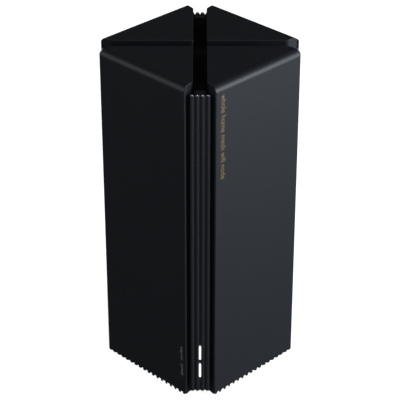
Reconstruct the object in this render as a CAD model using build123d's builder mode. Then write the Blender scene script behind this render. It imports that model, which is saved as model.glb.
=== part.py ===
from build123d import *
import math
import os

# Mesh wifi node: a square tower standing on four rubber feet. The origin is the centre of the
# footprint on the table, +Z is up, the front corner with the status lights points along -Y and the
# rear corner with the sockets points along +Y. Sizes are in millimetres.

os.makedirs("parts", exist_ok=True)

# ---- Overall sizes ----
WIDTH = 95.0  # across two opposite outer faces
HEIGHT = 210.0  # underside of the feet to the top
RIM_Z = 0.6  # gap under the covers' lower rims
WALL = 2.0  # wall of the outer covers
GAP = 0.2  # clearance between pieces that are only fitted together
HOLE_GAP = 0.02  # radial clearance round a screw thread or a pressed pin

# ---- Covers ----
CROWN = 0.1  # how far the middle of a face stands proud of its two ends
GROOVE_HALF = 4.0  # half width of the cross-shaped groove in the top
GROOVE_DEPTH = 6.0
MOUTH_HALF = 8.0  # half width of the corner channel where it opens
FLARE_RUN = 5.7  # length over which the groove widens to the corner channel
LIP_DEPTH = 2.5  # straight lip between the flare and the outer face
TOP_EDGE_R = 4.4  # rounding between an outer face and the top
TIP_R = 0.8  # rounding of the upright edge beside a corner channel
FLARE_R = 5.0
APEX_R = 0.8
SKIRT_DROP = 1.0  # how far the groove walls reach below the groove floor
NOTCH_PITCH = 4.0
NOTCH_WIDTH = 2.2
NOTCH_HEIGHT = 1.4
RIM_CORNER_R = 1.2  # rounding at the lower ends of the upright edges
COVER_BOSS_R = 3.4
COVER_BOSS_HEIGHT = 12.0
PEG_R = 2.0

# ---- Corner strips ----
RIB_COUNT = 4
RIB_PITCH = 3.05
RIB_R = 1.3
RIB_TOP_DROP = 5.2  # top of the tower to the rounded rib ends
STRIP_HALF = 5.7
STRIP_PLATE = 1.9
STRIP_NECK_HALF = 3.2
STRIP_BOTTOM_Z = 3.5
STRIP_SLOPE_RUN = 4.2
STRIP_SLOPE_DROP = 0.6
CREST_BACK = 0.3  # rib crests stand this far behind the upright edges of the covers
CLIP_HALF = 2.2
CLIP_HEIGHT = 6.0

# ---- Status lights ----
LIGHT_WIDTH = 1.7
LIGHT_LENGTH = 10.3
LIGHT_LOW_Z = 18.4
LIGHT_PITCH = 13.0
LED_BOARD_HALF = 3.9
LED_BOARD_T = 1.0
LED_T = 0.7
LED_LENGTH = 3.5
LED_WIDTH = 1.4

# ---- Inner frame ----
POST_HALF = 3.2
POST_DEPTH = 5.0
FLANGE_HALF = 9.0
FLANGE_T = 2.4
CHIMNEY_SLOTS = 8
CHIMNEY_PITCH = 4.0
CHIMNEY_WIDTH = 1.6

# ---- Base ----
BASE_Z = 3.2
BASE_T = 2.4
FOOT_LENGTH = 18.0
FOOT_WIDTH = 5.0
FOOT_REACH = 36.0
FOOT_STUB_R = 1.6
SCREW_R = 1.25
SCREW_HEAD_R = 2.6
SCREW_HEAD_T = 1.4
SCREW_BITE = 2.8  # length of thread above the base

# ---- Circuit board ----
BOARD_T = 1.6
BOARD_LOW_Z = 9.0
BOARD_TOP_DROP = 20.0
BOARD_RAIL_HALF = 20.0
BOARD_RAIL_WALL = 1.4
BOARD_RAIL_RISE = 3.0
STANDOFF_R = 2.8

# ---- Sockets at the rear corner ----
PANEL_T = 1.6
PANEL_HALF = 7.8
PANEL_TOP_Z = 111.5
PANEL_FLANGE_T = 0.8
PANEL_FLANGE_DEPTH = 3.9
JACK_COUNT = 4
JACK_FIRST_Z = 31.0
JACK_PITCH = 17.5
JACK_WIDTH = 15.9  # along Z
JACK_THICK = 13.4  # along X
JACK_DEPTH = 21.0  # along Y
JACK_PROUD = 0.2
SHELL_T = 0.3
PLUG_WIDTH = 11.9
PLUG_LOW_X = -4.2
PLUG_HIGH_X = 3.4
PLUG_DEPTH = 13.6
LATCH_WIDE = 6.2
LATCH_HIGH_X = 5.0
LATCH_NARROW = 3.4
LATCH_TOP_X = 5.9
CONTACT_COUNT = 8
CONTACT_PITCH = 1.02
CONTACT_T = 0.45
POWER_Z = 14.0
POWER_WIDTH = 9.2
POWER_HIGH_X = 4.6
POWER_DEPTH = 13.4
POWER_BORE_R = 3.2
POWER_BORE_DEPTH = 9.8
POWER_PIN_R = 1.0
POWER_PIN_SEAT = 1.4
POWER_LEAF_T = 0.5
POWER_LEAF_HALF = 1.0

# ---- Buttons ----
BUTTON_Z = 105.5
BUTTON_WIDTH = 3.6
BUTTON_LENGTH = 7.6
BUTTON_PROUD = 0.3
BUTTON_FLANGE = 1.2
BUTTON_FLANGE_T = 0.8
BUTTON_GAP = 0.15
BUTTON_TRAVEL = 0.4
RESET_Z = 98.0
PINHOLE_R = 0.7
SWITCH_SIZE = 5.0
SWITCH_T = 3.0
PLUNGER_R = 1.2
PLUNGER_PROUD = 1.3
PLUNGER_SEAT = 1.5
PLUNGER_FIT = 0.05
BUTTON_BOARD_T = 1.0
BUTTON_BOARD_HALF = 6.4
BUTTON_BOARD_LOW_Z = 95.0
STAKE_X = 5.4
STAKE_Z = 101.5
STAKE_POST_R = 1.3
STAKE_R = 0.7

# ---- Cooling ----
SINK_LOW_Z = 96.0
SINK_TOP_DROP = 28.0
SINK_HALF = 29.5
SINK_BASE_T = 2.5
SINK_SCREW_Y = 26.0
SINK_SCREW_END = 6.0
FIN_COUNT = 9
FIN_PITCH = 5.5
FIN_T = 1.2
CHIP_T = 2.0
PAD_T = 1.2
SHIELD_T = 3.0
SHIELD_WALL = 0.3

# ---- Antennas ----
ANTENNA_WIDTH = 16.0
ANTENNA_T = 0.8
ANTENNA_LOW_Z = 118.0
ANTENNA_TOP_DROP = 24.0
ANTENNA_WALL_GAP = 4.1
LEAD_R = 0.6
LEAD_DROP = 8.0
LEAD_STRAIGHT = 6.0
LEAD_BEND_R = 6.0
LEAD_Z = 150.0
CONNECTOR_R = 1.5
CONNECTOR_T = 1.5

# ---- Values worked out from the sizes above ----
DIAGONAL = WIDTH / math.sqrt(2)  # axis to the corner that the outer faces would meet in
END_DIAGONAL = DIAGONAL - CROWN * math.sqrt(2)
MOUTH_U = END_DIAGONAL - MOUTH_HALF - LIP_DEPTH
FLARE_U = MOUTH_U - FLARE_RUN
HOLD_U = FLARE_U - 1.0  # the flared walls end here
ARM_U = HOLD_U - 0.3  # arms of the inner frame and the base end here
EDGE_U = END_DIAGONAL - MOUTH_HALF - TIP_R * math.sqrt(2)
CREST_U = EDGE_U - CREST_BACK
RIB_U = CREST_U - RIB_R
PLATE_U = RIB_U - STRIP_PLATE
NECK_U = ARM_U + GAP
POST_U = ARM_U - 4.2  # outer face of an inner frame post
FLOOR_Z = HEIGHT - GROOVE_DEPTH
SKIRT_Z = FLOOR_Z - SKIRT_DROP
FLANGE_Z = SKIRT_Z - FLANGE_T
BASE_TOP_Z = BASE_Z + BASE_T
INNER_FACE = WIDTH / 2 - WALL
BASE_CORNER = (INNER_FACE - CROWN - GAP) * math.sqrt(2)
BOSS_REACH = INNER_FACE - COVER_BOSS_R + GAP
BOARD_X = -JACK_THICK / 2  # right face of the circuit board, which carries the sockets
BOARD_LEFT_X = BOARD_X - BOARD_T
BOARD_HIGH_Z = HEIGHT - BOARD_TOP_DROP
BOARD_HALF = POST_U + 1.0
BOARD_TAB_U = HOLD_U + 1.5
PANEL_U = CREST_U  # outer face of the socket panel
PANEL_BACK_U = PANEL_U - PANEL_T
PANEL_LOW_Z = STRIP_BOTTOM_Z
BAY_TOP_Z = PANEL_TOP_Z + 0.8
BAY_HALF = -BOARD_LEFT_X + 0.3
REAR_STRIP_Z = BAY_TOP_Z + 0.7
REAR_POST_Z = REAR_STRIP_Z + 3.0
JACK_FRONT_U = PANEL_U + JACK_PROUD
JACK_BACK_U = JACK_FRONT_U - JACK_DEPTH
JACK_ZS = [JACK_FIRST_Z + JACK_PITCH * i for i in range(JACK_COUNT)]
POWER_FRONT_U = PANEL_BACK_U
SWITCH_FACE_U = PANEL_BACK_U - 2.9
BUTTON_BOARD_U = SWITCH_FACE_U - SWITCH_T
SINK_HIGH_Z = HEIGHT - SINK_TOP_DROP
SINK_MID_Z = (SINK_LOW_Z + SINK_HIGH_Z) / 2
SINK_LEFT_X = BOARD_LEFT_X - CHIP_T - PAD_T
SINK_RIGHT_X = BOARD_X + SHIELD_T + PAD_T
FIN_DIAGONAL = DIAGONAL - 15.2
FIN_REACH = POST_U - POST_DEPTH - 2.0
ANTENNA_FACE = INNER_FACE - CROWN - ANTENNA_WALL_GAP
ANTENNA_HIGH_Z = HEIGHT - ANTENNA_TOP_DROP
LIGHT_ZS = [LIGHT_LOW_Z, LIGHT_LOW_Z + LIGHT_PITCH]

FRONT, RIGHT, REAR, LEFT = 0, 90, 180, 270


# ---- Planes ----
def turned(turn, z=0.0):
    """Level plane at height z whose -Y axis is turned to point along one corner."""
    return Plane.XY.rotated((0, 0, turn)).offset(z)


def arm_plane(turn):
    """Upright plane through the axis: x runs out along one corner, y is height."""
    angle = math.radians(turn)
    out = (math.sin(angle), -math.cos(angle), 0)
    return Plane(origin=(0, 0, 0), x_dir=out, z_dir=(out[1], -out[0], 0))


def face_plane(turn, distance):
    """Upright plane parallel to one outer face: x runs along the face, y is height."""
    angle = math.radians(turn - 45)
    normal = (math.cos(angle), math.sin(angle), 0)
    origin = (normal[0] * distance, normal[1] * distance, 0)
    return Plane(origin=origin, x_dir=(-normal[1], normal[0], 0), z_dir=normal)


def side_plane(x):
    """Upright plane at one X: its x is Y and its y is height, and it faces +X."""
    return Plane(origin=(x, 0, 0), x_dir=(0, 1, 0), z_dir=(1, 0, 0))


def rear_plane(u):
    """Upright plane at one Y, seen from the front: its x is X and its y is height; it faces -Y."""
    return Plane(origin=(0, u, 0), x_dir=(1, 0, 0), z_dir=(0, -1, 0))


def save(solid, name):
    """Label one sub-part and write it to its own file."""
    solid.label = name
    export_step(solid, f"parts/{name}.step")


# ---- Outer covers ----
FRONT_TIP = (MOUTH_HALF, MOUTH_HALF - END_DIAGONAL)
SIDE_TIP = (END_DIAGONAL - MOUTH_HALF, -MOUTH_HALF)
INNER_CORNERS = [
    (MOUTH_U, -MOUTH_HALF),
    (FLARE_U, -GROOVE_HALF),
    (GROOVE_HALF, -GROOVE_HALF),
    (GROOVE_HALF, -FLARE_U),
    (MOUTH_HALF, -MOUTH_U),
]


def petal(inset=0.0):
    """Plan of one cover: a crowned outer face, two lips and flares, and two groove walls."""
    with BuildLine() as outline:
        ThreePointArc(FRONT_TIP, (DIAGONAL / 2, -DIAGONAL / 2), SIDE_TIP)
        Polyline(SIDE_TIP, *INNER_CORNERS, FRONT_TIP)
    make_face(outline.edges())
    if inset:
        offset(amount=-inset, kind=Kind.INTERSECTION, mode=Mode.REPLACE)


def rounded_petal():
    """The same plan with rounded corners; its face is two lines that just clear the crown."""
    peak = (DIAGONAL + CROWN * math.sqrt(2)) / 2
    with BuildLine() as outline:
        Polyline(FRONT_TIP, (peak, -peak), SIDE_TIP, *INNER_CORNERS, close=True)
    face = make_face(outline.edges())
    corners = face.vertices()
    fillet(near(corners, END_DIAGONAL - MOUTH_HALF, MOUTH_HALF), TIP_R)
    corners = face.vertices()
    fillet(near(corners, FLARE_U, GROOVE_HALF), FLARE_R)
    fillet(near(corners, GROOVE_HALF, GROOVE_HALF), APEX_R)


def near(corners, along, across):
    """The plan corners at one distance from the axis."""
    reach = math.hypot(along, across)
    return [v for v in corners if abs(math.hypot(v.X, v.Y) - reach) < 0.05]


def make_cavity(turn):
    """The space inside one cover, one wall in from every outer surface."""
    with BuildPart() as cavity:
        with BuildSketch(turned(turn, RIM_Z)):
            petal(WALL)
        extrude(amount=HEIGHT - WALL - RIM_Z)
        ceiling = cavity.faces().sort_by(Axis.Z)[-1]
        fillet(ceiling.edges().sort_by(SortBy.LENGTH)[-1], TOP_EDGE_R - WALL)
    return cavity.part


def make_cover(name, turn):
    """One of the four outer covers: a crowned face, a flat top facet and two flared side walls."""
    cavity = make_cavity(turn)
    with BuildPart() as cover:
        with BuildSketch(turned(turn, RIM_Z)):
            petal()
        extrude(amount=HEIGHT - RIM_Z)
        top = cover.faces().sort_by(Axis.Z)[-1]
        fillet(top.edges().sort_by(SortBy.LENGTH)[-1], TOP_EDGE_R)
        with BuildSketch(turned(turn, RIM_Z)):
            rounded_petal()
        extrude(amount=HEIGHT - RIM_Z, mode=Mode.INTERSECT)
        add(cavity, mode=Mode.SUBTRACT)
        # below the groove the inner walls are left out, so the covers close round the inner frame
        wall_line = GROOVE_HALF + WALL + 1.0
        with BuildSketch(turned(turn, RIM_Z)):
            with BuildLine():
                Polyline(
                    (0, 0),
                    (HOLD_U, 0),
                    (HOLD_U, -wall_line),
                    (wall_line, -wall_line),
                    (wall_line, -HOLD_U),
                    (0, -HOLD_U),
                    close=True,
                )
            make_face()
        extrude(amount=SKIRT_Z - RIM_Z, mode=Mode.SUBTRACT)
        # air notches along the lower rim
        notch_count = int((END_DIAGONAL - 2 * MOUTH_HALF) * math.sqrt(2) / NOTCH_PITCH)
        with BuildSketch(face_plane(turn, WIDTH / 2)):
            with Locations((0, RIM_Z + NOTCH_HEIGHT / 2)):
                with GridLocations(NOTCH_PITCH, 1, notch_count, 1):
                    Rectangle(NOTCH_WIDTH, NOTCH_HEIGHT)
        extrude(amount=-(WALL + CROWN + 0.6), mode=Mode.SUBTRACT)
        # rounded lower ends of the two upright edges
        for corner_turn in (turn, turn + 90):
            with BuildSketch(arm_plane(corner_turn)):
                with BuildLine():
                    RadiusArc(
                        (EDGE_U - RIM_CORNER_R, RIM_Z),
                        (EDGE_U, RIM_Z + RIM_CORNER_R),
                        RIM_CORNER_R,
                    )
                    Polyline(
                        (EDGE_U, RIM_Z + RIM_CORNER_R),
                        (EDGE_U + 2, RIM_Z + RIM_CORNER_R),
                        (EDGE_U + 2, RIM_Z - 1),
                        (EDGE_U - RIM_CORNER_R, RIM_Z - 1),
                        (EDGE_U - RIM_CORNER_R, RIM_Z),
                    )
                make_face()
            extrude(amount=MOUTH_HALF + 6, both=True, mode=Mode.SUBTRACT)
        # screw boss at the foot of the face
        with BuildSketch(turned(turn, BASE_TOP_Z)):
            with Locations((BOSS_REACH / math.sqrt(2), -BOSS_REACH / math.sqrt(2))):
                Circle(COVER_BOSS_R)
                Circle(SCREW_R + HOLE_GAP, mode=Mode.SUBTRACT)
        extrude(amount=COVER_BOSS_HEIGHT)
        # two pegs that carry the antenna board
        with BuildSketch(face_plane(turn, ANTENNA_FACE)):
            with Locations((0, ANTENNA_LOW_Z + 8), (0, ANTENNA_HIGH_Z - 8)):
                Circle(PEG_R)
        extrude(amount=ANTENNA_WALL_GAP + CROWN + WALL / 2)
        if name.startswith("rear"):
            # bay for the socket panel: narrow between the lips, wider behind them
            with BuildSketch(Plane.XY.offset(RIM_Z)):
                with Locations((0, MOUTH_U)):
                    Rectangle(2 * MOUTH_HALF, 24)
                with Locations((0, MOUTH_U - 13)):
                    Rectangle(2 * BAY_HALF, 24)
            extrude(amount=BAY_TOP_Z - RIM_Z, mode=Mode.SUBTRACT)
    save(cover.part, name)


make_cover("front_right_cover", FRONT)
make_cover("rear_right_cover", RIGHT)
make_cover("rear_left_cover", REAR)
make_cover("front_left_cover", LEFT)


# ---- Inner frame: the floor of the top groove on four posts ----
def make_core_frame():
    with BuildPart() as frame:
        with BuildSketch(Plane.XY.offset(FLANGE_Z)):
            Rectangle(2 * ARM_U, 2 * FLANGE_HALF)
            Rectangle(2 * FLANGE_HALF, 2 * ARM_U)
        extrude(amount=FLANGE_T)
        with BuildSketch(Plane.XY.offset(SKIRT_Z)):
            Rectangle(2 * ARM_U, 2 * (GROOVE_HALF - GAP))
            Rectangle(2 * (GROOVE_HALF - GAP), 2 * ARM_U)
        extrude(amount=SKIRT_DROP)
        slot_u = POST_U - POST_DEPTH - 3.0 - CHIMNEY_PITCH * (CHIMNEY_SLOTS - 1) / 2
        for turn in (FRONT, RIGHT, REAR, LEFT):
            with BuildSketch(turned(turn, FLANGE_Z)):
                with Locations((0, -slot_u)):
                    with GridLocations(1, CHIMNEY_PITCH, 1, CHIMNEY_SLOTS):
                        SlotOverall(2 * (GROOVE_HALF - 1.2), CHIMNEY_WIDTH)
            extrude(amount=FLANGE_T + SKIRT_DROP, mode=Mode.SUBTRACT)
            post_low = REAR_POST_Z if turn == REAR else BASE_TOP_Z
            with BuildSketch(turned(turn, post_low)):
                with Locations((0, -(POST_U - POST_DEPTH / 2))):
                    Rectangle(2 * POST_HALF, POST_DEPTH)
            extrude(amount=FLANGE_Z - post_low)
            if turn != REAR:
                with BuildSketch(turned(turn, BASE_TOP_Z)):
                    with Locations((0, -(POST_U - POST_DEPTH / 2))):
                        Circle(SCREW_R + HOLE_GAP)
                extrude(amount=8.0, mode=Mode.SUBTRACT)
        with BuildSketch(side_plane(-POST_HALF)):
            with Locations(*BOARD_SCREW_SPOTS):
                Circle(STANDOFF_R)
                Circle(SCREW_R + HOLE_GAP, mode=Mode.SUBTRACT)
        extrude(amount=BOARD_X + POST_HALF)
        with BuildSketch(side_plane(-POST_HALF)):
            with Locations(*BOARD_SCREW_SPOTS):
                Circle(SCREW_R + HOLE_GAP)
        extrude(amount=2.4, mode=Mode.SUBTRACT)
    save(frame.part, "core_frame")


POST_MID_U = POST_U - POST_DEPTH / 2
BOARD_SCREW_SPOTS = [
    (-POST_MID_U, 45.0),
    (-POST_MID_U, HEIGHT - 30.0),
    (POST_MID_U, REAR_POST_Z + 12.0),
    (POST_MID_U, HEIGHT - 30.0),
]
make_core_frame()


# ---- Ribbed corner strips ----
def make_corner_strip(name, turn, low_z, clip_zs):
    """Four upright rounded ribs on a plate, with a neck behind that clips to the inner frame."""
    with BuildPart() as strip:
        with BuildSketch(turned(turn, low_z)):
            with Locations((0, -(PLATE_U + STRIP_PLATE / 2))):
                Rectangle(2 * STRIP_HALF, STRIP_PLATE)
            with Locations((0, -(NECK_U + PLATE_U) / 2)):
                Rectangle(2 * STRIP_NECK_HALF, PLATE_U - NECK_U)
        extrude(amount=FLOOR_Z - low_z)
        # the top slopes down towards the rib ends
        with BuildSketch(arm_plane(turn)):
            with BuildLine():
                Polyline(
                    (RIB_U + 0.1, FLOOR_Z + 0.1),
                    (RIB_U + 0.1 - STRIP_SLOPE_RUN, FLOOR_Z + 0.1),
                    (RIB_U + 0.1, FLOOR_Z - STRIP_SLOPE_DROP),
                    close=True,
                )
            make_face()
        extrude(amount=STRIP_HALF + 1, both=True, mode=Mode.SUBTRACT)
        rib_end_z = HEIGHT - RIB_TOP_DROP - RIB_R
        with BuildSketch(turned(turn, low_z)):
            with Locations((0, -RIB_U)):
                with GridLocations(RIB_PITCH, 1, RIB_COUNT, 1):
                    Circle(RIB_R)
        extrude(amount=rib_end_z - low_z)
        with Locations(turned(turn, rib_end_z)):
            with Locations((0, -RIB_U)):
                with GridLocations(RIB_PITCH, 1, RIB_COUNT, 1):
                    Sphere(RIB_R)
        for z in clip_zs:
            with BuildSketch(turned(turn, z)):
                with Locations((0, -(POST_U + NECK_U) / 2)):
                    Rectangle(2 * CLIP_HALF, NECK_U - POST_U)
            extrude(amount=CLIP_HEIGHT)
        if turn == FRONT:
            for z in LIGHT_ZS:
                with BuildSketch(rear_plane(-(NECK_U - 0.5))):
                    with Locations((0, z)):
                        Rectangle(LIGHT_WIDTH, LIGHT_LENGTH)
                extrude(amount=CREST_U - NECK_U + 1, mode=Mode.SUBTRACT)
    save(strip.part, name)


HIGH_CLIP_Z = HEIGHT - 25.0
make_corner_strip("front_corner_strip", FRONT, STRIP_BOTTOM_Z, [55.0, 115.0, HIGH_CLIP_Z])
make_corner_strip("right_corner_strip", RIGHT, STRIP_BOTTOM_Z, [12.0, 95.0, HIGH_CLIP_Z])
make_corner_strip("left_corner_strip", LEFT, STRIP_BOTTOM_Z, [12.0, 95.0, HIGH_CLIP_Z])
make_corner_strip("rear_corner_strip", REAR, REAR_STRIP_Z, [REAR_POST_Z + 4.0, HIGH_CLIP_Z])


# ---- Status lights behind the front strip ----
LED_FACE_U = POST_U + LED_BOARD_T
with BuildPart() as led_board:
    led_low = LIGHT_ZS[0] - LIGHT_LENGTH / 2 - 3.0
    led_high = LIGHT_ZS[1] + LIGHT_LENGTH / 2 + 3.0
    with BuildSketch(rear_plane(-POST_U)):
        with Locations((0, (led_low + led_high) / 2)):
            Rectangle(2 * LED_BOARD_HALF, led_high - led_low)
    extrude(amount=LED_BOARD_T)
save(led_board.part, "led_board")

with BuildPart() as status_leds:
    with BuildSketch(rear_plane(-LED_FACE_U)):
        with Locations(*[(0, z) for z in LIGHT_ZS]):
            Rectangle(LED_WIDTH, LED_LENGTH)
    extrude(amount=LED_T)
save(status_leds.part, "status_leds")

with BuildPart() as light_guides:
    guide_width = LIGHT_WIDTH - 0.1
    guide_length = LIGHT_LENGTH - 0.1
    guide_back_u = LED_FACE_U + LED_T + 0.1
    with BuildSketch(rear_plane(-guide_back_u)):
        with Locations(*[(0, z) for z in LIGHT_ZS]):
            RectangleRounded(guide_width, guide_length, guide_width / 2 - 0.35)
    extrude(amount=CREST_U - 0.2 - guide_back_u)
save(light_guides.part, "light_guides")

with BuildPart() as light_shield:
    shield_low = LIGHT_ZS[0] - LIGHT_LENGTH / 2 - 1.4
    shield_high = LIGHT_ZS[1] + LIGHT_LENGTH / 2 + 1.4
    with BuildSketch(rear_plane(-LED_FACE_U)):
        with Locations((0, (shield_low + shield_high) / 2)):
            Rectangle(2 * STRIP_NECK_HALF, shield_high - shield_low)
        with Locations(*[(0, z) for z in LIGHT_ZS]):
            Rectangle(LIGHT_WIDTH + GAP, LIGHT_LENGTH + GAP, mode=Mode.SUBTRACT)
    extrude(amount=NECK_U - LED_FACE_U)
save(light_shield.part, "light_shield")

with BuildPart() as led_flex_cable:
    with BuildSketch(Plane.XY.offset(LIGHT_LOW_Z - 3.0)):
        with Locations(((BOARD_X - LED_BOARD_HALF) / 2, -(POST_U + LED_BOARD_T / 2))):
            Rectangle(-BOARD_X - LED_BOARD_HALF, 0.3)
    extrude(amount=6.0)
save(led_flex_cable.part, "led_flex_cable")


# ---- Base ----
BASE_SCREW_SPOTS = [(0, -POST_MID_U), (POST_MID_U, 0), (-POST_MID_U, 0), (0, ARM_U - 3.4)]
COVER_SCREW = BOSS_REACH / math.sqrt(2)
COVER_SCREW_SPOTS = [(x * COVER_SCREW, y * COVER_SCREW) for x in (-1, 1) for y in (-1, 1)]
with BuildPart() as bottom_cover:
    with BuildSketch(Plane.XY.offset(BASE_Z)):
        side = BASE_CORNER - ARM_U
        with BuildLine():
            Polyline(
                (ARM_U, -side),
                (ARM_U, side),
                (side, ARM_U),
                (-side, ARM_U),
                (-ARM_U, side),
                (-ARM_U, -side),
                (-side, -ARM_U),
                (side, -ARM_U),
                close=True,
            )
        make_face()
        with Locations(*BASE_SCREW_SPOTS):
            Circle(SCREW_R + GAP, mode=Mode.SUBTRACT)
        with Locations(*COVER_SCREW_SPOTS):
            Circle(SCREW_R + GAP, mode=Mode.SUBTRACT)
        for turn in (45, 135, 225, 315):
            with PolarLocations(FOOT_REACH, 1, start_angle=turn):
                Circle(FOOT_STUB_R + HOLE_GAP, mode=Mode.SUBTRACT)
        with Locations((10, 0)):
            with GridLocations(6, 12, 4, 4):
                SlotOverall(9, 2.2, rotation=90, mode=Mode.SUBTRACT)
        with Locations((-17, 0)):
            with GridLocations(6, 12, 2, 4):
                SlotOverall(9, 2.2, rotation=90, mode=Mode.SUBTRACT)
    extrude(amount=BASE_T)
    # grooved rail that holds the lower edge of the circuit board
    with BuildSketch(Plane.XY.offset(BASE_TOP_Z)):
        with Locations(((BOARD_X + BOARD_LEFT_X) / 2, 0)):
            Rectangle(BOARD_T + 2 * (BOARD_RAIL_WALL + GAP / 2), 2 * BOARD_RAIL_HALF)
    extrude(amount=BOARD_LOW_Z + BOARD_RAIL_RISE - BASE_TOP_Z)
    with BuildSketch(Plane.XY.offset(BOARD_LOW_Z)):
        with Locations(((BOARD_X + BOARD_LEFT_X) / 2, 0)):
            Rectangle(BOARD_T + GAP, 2 * BOARD_RAIL_HALF)
    extrude(amount=BOARD_RAIL_RISE, mode=Mode.SUBTRACT)
save(bottom_cover.part, "bottom_cover")

with BuildPart() as rubber_feet:
    for turn in (45, 135, 225, 315):
        with BuildSketch():
            with PolarLocations(FOOT_REACH, 1, start_angle=turn):
                SlotOverall(FOOT_LENGTH, FOOT_WIDTH, rotation=90)
        extrude(amount=BASE_Z)
        with BuildSketch(Plane.XY.offset(BASE_Z)):
            with PolarLocations(FOOT_REACH, 1, start_angle=turn):
                Circle(FOOT_STUB_R)
        extrude(amount=BASE_T)
save(rubber_feet.part, "rubber_feet")

with BuildPart() as blank_label:
    with BuildSketch(Plane.XY.offset(BASE_Z)):
        with Locations((0, -POST_MID_U + 11.5)):
            RectangleRounded(24, 12, 1)
    extrude(amount=-0.15)
save(blank_label.part, "blank_label")


def make_base_screws(name, spots):
    """Pan-head screws driven up through the base."""
    with BuildPart() as screws:
        with BuildSketch(Plane.XY.offset(BASE_Z - SCREW_HEAD_T)):
            with Locations(*spots):
                Circle(SCREW_HEAD_R)
        extrude(amount=SCREW_HEAD_T)
        fillet(screws.faces().filter_by(Axis.Z).group_by(Axis.Z)[0].edges(), 0.5)
        with BuildSketch(Plane.XY.offset(BASE_Z)):
            with Locations(*spots):
                Circle(SCREW_R)
        extrude(amount=BASE_T + SCREW_BITE)
        with BuildSketch(Plane.XY.offset(BASE_Z - SCREW_HEAD_T)):
            with Locations(*spots):
                Rectangle(2.6, 0.7)
                Rectangle(0.7, 2.6)
        extrude(amount=0.8, mode=Mode.SUBTRACT)
    save(screws.part, name)


make_base_screws("base_screws", BASE_SCREW_SPOTS)
make_base_screws("cover_screws", COVER_SCREW_SPOTS)


# ---- Circuit board and what sits on it ----
SINK_SCREW_SPOTS = [
    (y, z)
    for y in (-SINK_SCREW_Y, SINK_SCREW_Y)
    for z in (SINK_LOW_Z + SINK_SCREW_END, SINK_HIGH_Z - SINK_SCREW_END)
]
with BuildPart() as main_board:
    with BuildSketch(side_plane(BOARD_LEFT_X)):
        with Locations((0, (BOARD_LOW_Z + BOARD_HIGH_Z) / 2)):
            Rectangle(2 * BOARD_HALF, BOARD_HIGH_Z - BOARD_LOW_Z)
        tab_top = PANEL_TOP_Z - 0.5
        with Locations(((BOARD_HALF + BOARD_TAB_U) / 2, (BOARD_LOW_Z + tab_top) / 2)):
            Rectangle(BOARD_TAB_U - BOARD_HALF, tab_top - BOARD_LOW_Z)
        with Locations(*BOARD_SCREW_SPOTS, *SINK_SCREW_SPOTS):
            Circle(SCREW_R + GAP, mode=Mode.SUBTRACT)
    extrude(amount=BOARD_T)
save(main_board.part, "main_board")


def make_left_parts(name, thickness, from_x, spots):
    """Flat rectangular pieces on the left side of the board; each spot is y, z, width, height."""
    with BuildPart() as pieces:
        with BuildSketch(side_plane(from_x)):
            for y, z, width, height in spots:
                with Locations((y, z)):
                    Rectangle(width, height)
        extrude(amount=-thickness)
    save(pieces.part, name)


PROCESSOR = (0, SINK_MID_Z + 17, 23, 23)
SWITCH_CHIP = (6, SINK_MID_Z - 24, 17, 17)
MEMORY = [(-19.5, SINK_MID_Z + 8 + 14 * i, 8, 12) for i in range(2)]
make_left_parts("processor_chip", CHIP_T, BOARD_LEFT_X, [PROCESSOR])
make_left_parts("switch_chip", CHIP_T, BOARD_LEFT_X, [SWITCH_CHIP])
make_left_parts("memory_chips", CHIP_T, BOARD_LEFT_X, MEMORY)

SHIELD_SPOTS = [(0, SINK_MID_Z + 27 * i, 36, 25) for i in (-1, 0, 1)]
with BuildPart() as radio_shields:
    with BuildSketch(side_plane(BOARD_X)):
        for y, z, width, height in SHIELD_SPOTS:
            with Locations((y, z)):
                Rectangle(width, height)
    extrude(amount=SHIELD_T)
    with BuildSketch(side_plane(BOARD_X)):
        for y, z, width, height in SHIELD_SPOTS:
            with Locations((y, z)):
                Rectangle(width - 2 * SHIELD_WALL, height - 2 * SHIELD_WALL)
    extrude(amount=SHIELD_T - SHIELD_WALL, mode=Mode.SUBTRACT)
save(radio_shields.part, "radio_shields")

with BuildPart() as radio_chips:
    with BuildSketch(side_plane(BOARD_X)):
        for y, z, _, _ in SHIELD_SPOTS:
            with Locations((y, z)):
                Rectangle(11, 11)
    extrude(amount=1.2)
save(radio_chips.part, "radio_chips")

with BuildPart() as thermal_pads:
    with BuildSketch(side_plane(BOARD_LEFT_X - CHIP_T)):
        for y, z, width, height in [PROCESSOR, SWITCH_CHIP, *MEMORY]:
            with Locations((y, z)):
                Rectangle(width, height)
    extrude(amount=-PAD_T)
    with BuildSketch(side_plane(BOARD_X + SHIELD_T)):
        for y, z, width, height in SHIELD_SPOTS:
            with Locations((y, z)):
                Rectangle(width - 8, height - 5)
    extrude(amount=PAD_T)
save(thermal_pads.part, "thermal_pads")

with BuildPart() as line_transformers:
    with BuildSketch(side_plane(BOARD_X)):
        for z in JACK_ZS:
            with Locations((JACK_BACK_U - 9.5, z)):
                Rectangle(12, 14)
    extrude(amount=6.0)
save(line_transformers.part, "line_transformers")

with BuildPart() as capacitors:
    with BuildSketch(side_plane(BOARD_X)):
        with Locations((0, BOARD_LOW_Z + 14)):
            with GridLocations(9, 1, 3, 1):
                Circle(3.15)
    extrude(amount=8.0)
    fillet(capacitors.faces().filter_by(Axis.X).group_by(Axis.X)[-1].edges(), 0.6)
save(capacitors.part, "capacitors")

with BuildPart() as power_coils:
    with BuildSketch(side_plane(BOARD_X)):
        with Locations((-18, BOARD_LOW_Z + 20), (-18, BOARD_LOW_Z + 30)):
            RectangleRounded(7.3, 7.3, 1)
    extrude(amount=4.0)
save(power_coils.part, "power_coils")


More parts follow.
